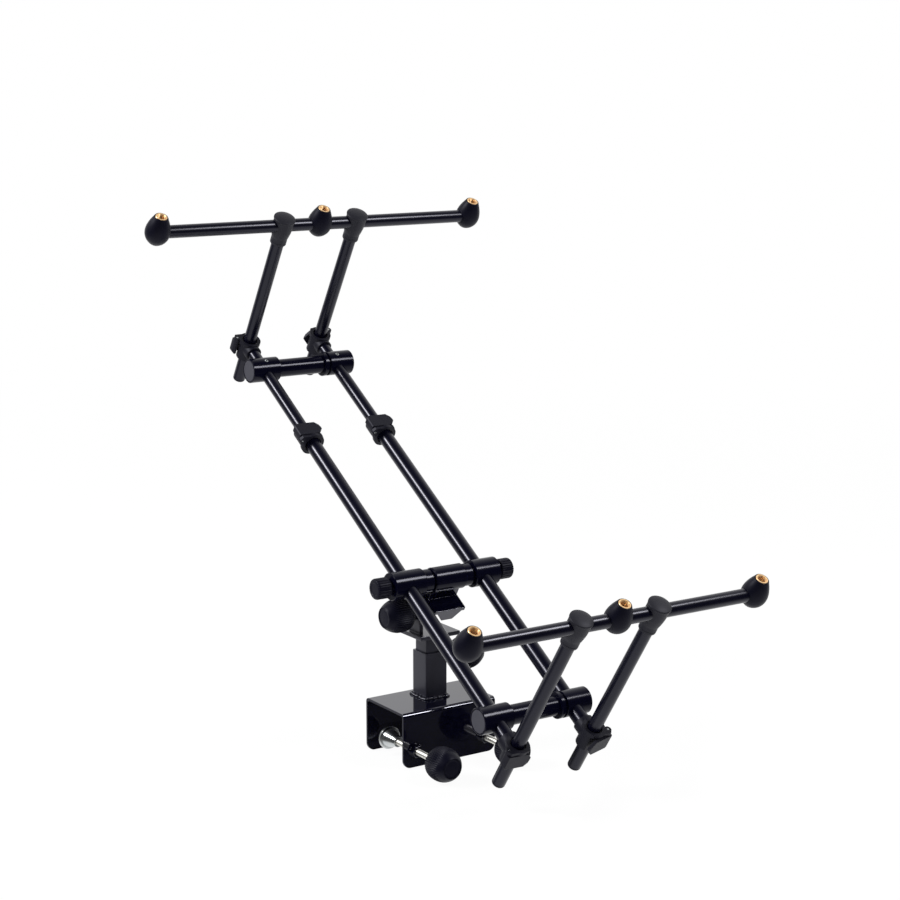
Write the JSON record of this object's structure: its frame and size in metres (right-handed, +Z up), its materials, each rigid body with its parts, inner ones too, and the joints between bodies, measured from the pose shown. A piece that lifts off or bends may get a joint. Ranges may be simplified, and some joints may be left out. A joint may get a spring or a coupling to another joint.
{
  "type": "rod pod",
  "caption": "Clamp-on rod pod: tilting telescopic twin-rail frame on a lockable post, with threaded rod bars on height-set uprights and a screw-jaw bracket.",
  "frame": {"origin": "middle of the inner top face of the bracket, where it sits on what it is clamped to", "axes": "+X along the crossbars to the right, +Y away from the clamp screws towards the raised end, +Z up"},
  "size_m": [0.479, 0.7578, 0.6426],
  "materials": {
    "bracket_paint": "gloss black paint",
    "tube_black": "black anodised, satin gloss",
    "soft_black": "soft-touch, matte",
    "plug_grey": "matte",
    "zinc": "bright zinc plate",
    "brass": "turned, bright",
    "foot_rubber": "matte"
  },
  "bodies": {
    "bracket": {"channel": "bracket_paint", "post_outer": "bracket_paint", "post_weld": "bracket_paint", "weld_nuts": "bracket_paint"},
    "pad_l": {"clamp_pad_l": "zinc"},
    "screw_l": {"clamp_screw_l": "zinc", "clamp_knob_l": "soft_black", "clamp_cap_l": "soft_black"},
    "pad_r": {"clamp_pad_r": "zinc"},
    "screw_r": {"clamp_screw_r": "zinc", "clamp_knob_r": "soft_black", "clamp_cap_r": "soft_black"},
    "post_lock": {"post_screw": "zinc", "post_knob": "soft_black", "post_cap": "soft_black"},
    "mast": {"mast": "bracket_paint", "post_head": "bracket_paint"},
    "head": {"tilt_bracket": "bracket_paint", "tilt_bolt": "zinc", "mid_tube": "tube_black", "mid_sleeves": "tube_black"},
    "tilt_lock": {"tilt_knob": "soft_black", "tilt_cap": "soft_black"},
    "mid_lock_l": {"mid_knob_l": "soft_black"},
    "mid_lock_r": {"mid_knob_r": "soft_black"},
    "rails": {"rails_outer": "tube_black", "near_tube": "tube_black", "near_sleeves": "tube_black", "near_plugs": "plug_grey", "near_clamps": "soft_black", "near_pins": "zinc", "rail_collars": "soft_black", "rail_pins": "zinc"},
    "rail_lever_l": {"rail_lever_l": "soft_black"},
    "rail_lever_r": {"rail_lever_r": "soft_black"},
    "near_lever_l": {"near_lever_l": "soft_black"},
    "near_lever_r": {"near_lever_r": "soft_black"},
    "reach": {"rails_inner": "tube_black", "far_tube": "tube_black", "far_sleeves": "tube_black", "far_plugs": "plug_grey", "far_grubs": "zinc", "far_clamps": "soft_black", "far_pins": "zinc"},
    "far_lever_l": {"far_lever_l": "soft_black"},
    "far_lever_r": {"far_lever_r": "soft_black"},
    "near_set": {"near_uprights": "tube_black", "near_feet": "foot_rubber", "near_tees": "soft_black", "near_bar": "tube_black", "near_bosses": "soft_black", "near_inserts": "brass"},
    "far_set": {"far_uprights": "tube_black", "far_feet": "foot_rubber", "far_tees": "soft_black", "far_bar": "tube_black", "far_bosses": "soft_black", "far_inserts": "brass"}
  },
  "joints": [
    {"name": "clamp_travel_l", "type": "slide", "parent": "bracket", "child": "pad_l", "axis": [0, 1, 0], "range_m": [-0.0251, 0.0201]},
    {"name": "clamp_turn_l", "type": "hinge", "parent": "pad_l", "child": "screw_l", "pos_m": [-0.049, 0, -0.0435], "axis": [0, 1, 0], "range_deg": [-7200, 5760]},
    {"name": "clamp_travel_r", "type": "slide", "parent": "bracket", "child": "pad_r", "axis": [0, 1, 0], "range_m": [-0.0251, 0.0201]},
    {"name": "clamp_turn_r", "type": "hinge", "parent": "pad_r", "child": "screw_r", "pos_m": [0.049, 0, -0.0435], "axis": [0, 1, 0], "range_deg": [-7200, 5760]},
    {"name": "mast_height", "type": "slide", "parent": "bracket", "child": "mast", "axis": [0, 0, 1], "range_m": [-0.018, 0.012]},
    {"name": "mast_lock", "type": "hinge", "parent": "bracket", "child": "post_lock", "pos_m": [0.0035, 0.007, 0.0485], "axis": [1, 0, 0], "range_deg": [0, 180]},
    {"name": "head_tilt", "type": "hinge", "parent": "mast", "child": "head", "pos_m": [0.0035, 0.007, 0.109], "axis": [1, 0, 0], "range_deg": [-32, 4]},
    {"name": "tilt_lock", "type": "hinge", "parent": "head", "child": "tilt_lock", "pos_m": [0.0035, 0.007, 0.109], "axis": [-1, 0, 0], "range_deg": [0, 180]},
    {"name": "mid_lock_l", "type": "hinge", "parent": "head", "child": "mid_lock_l", "pos_m": [0.0035, -0.02143, 0.15432], "axis": [-1, 0, 0], "range_deg": [0, 180]},
    {"name": "mid_lock_r", "type": "hinge", "parent": "head", "child": "mid_lock_r", "pos_m": [0.0035, -0.02143, 0.15432], "axis": [1, 0, 0], "range_deg": [0, 180]},
    {"name": "rails_slide", "type": "slide", "parent": "head", "child": "rails", "axis": [0, 0.8471, 0.5314], "range_m": [-0.05, 0.01]},
    {"name": "reach_slide", "type": "slide", "parent": "rails", "child": "reach", "axis": [0, 0.8471, 0.5314], "range_m": [-0.08, 0.09]},
    {"name": "rail_lever_l", "type": "hinge", "parent": "rails", "child": "rail_lever_l", "pos_m": [-0.06555, 0.1964, 0.30011], "axis": [0, -0.8471, -0.5314], "range_deg": [0, 100]},
    {"name": "rail_lever_r", "type": "hinge", "parent": "rails", "child": "rail_lever_r", "pos_m": [0.03945, 0.1964, 0.30011], "axis": [0, -0.8471, -0.5314], "range_deg": [0, 100]},
    {"name": "near_lever_l", "type": "hinge", "parent": "rails", "child": "near_lever_l", "pos_m": [-0.06429, -0.25045, 0.01131], "axis": [-0.0362, 0.531, -0.8466], "range_deg": [0, 100]},
    {"name": "near_lever_r", "type": "hinge", "parent": "rails", "child": "near_lever_r", "pos_m": [0.07129, -0.24986, 0.01037], "axis": [0.0362, -0.531, 0.8466], "range_deg": [-13, 87]},
    {"name": "far_lever_l", "type": "hinge", "parent": "reach", "child": "far_lever_l", "pos_m": [-0.0643, 0.36204, 0.39454], "axis": [-0.0181, -0.5313, 0.847], "range_deg": [0, 100]},
    {"name": "far_lever_r", "type": "hinge", "parent": "reach", "child": "far_lever_r", "pos_m": [0.0713, 0.36174, 0.39501], "axis": [0.0181, 0.5313, -0.847], "range_deg": [0, 100]},
    {"name": "near_height", "type": "slide", "parent": "rails", "child": "near_set", "axis": [0.0362, -0.531, 0.8466], "range_m": [-0.05, 0.03]},
    {"name": "far_height", "type": "slide", "parent": "reach", "child": "far_set", "axis": [-0.0181, -0.5313, 0.847], "range_m": [-0.1, 0.03]}
  ],
  "couplings": [
    {"joint": "clamp_travel_l", "follows": "clamp_turn_l", "m_per_rad": 0.00019894},
    {"joint": "clamp_travel_r", "follows": "clamp_turn_r", "m_per_rad": 0.00019894}
  ]
}
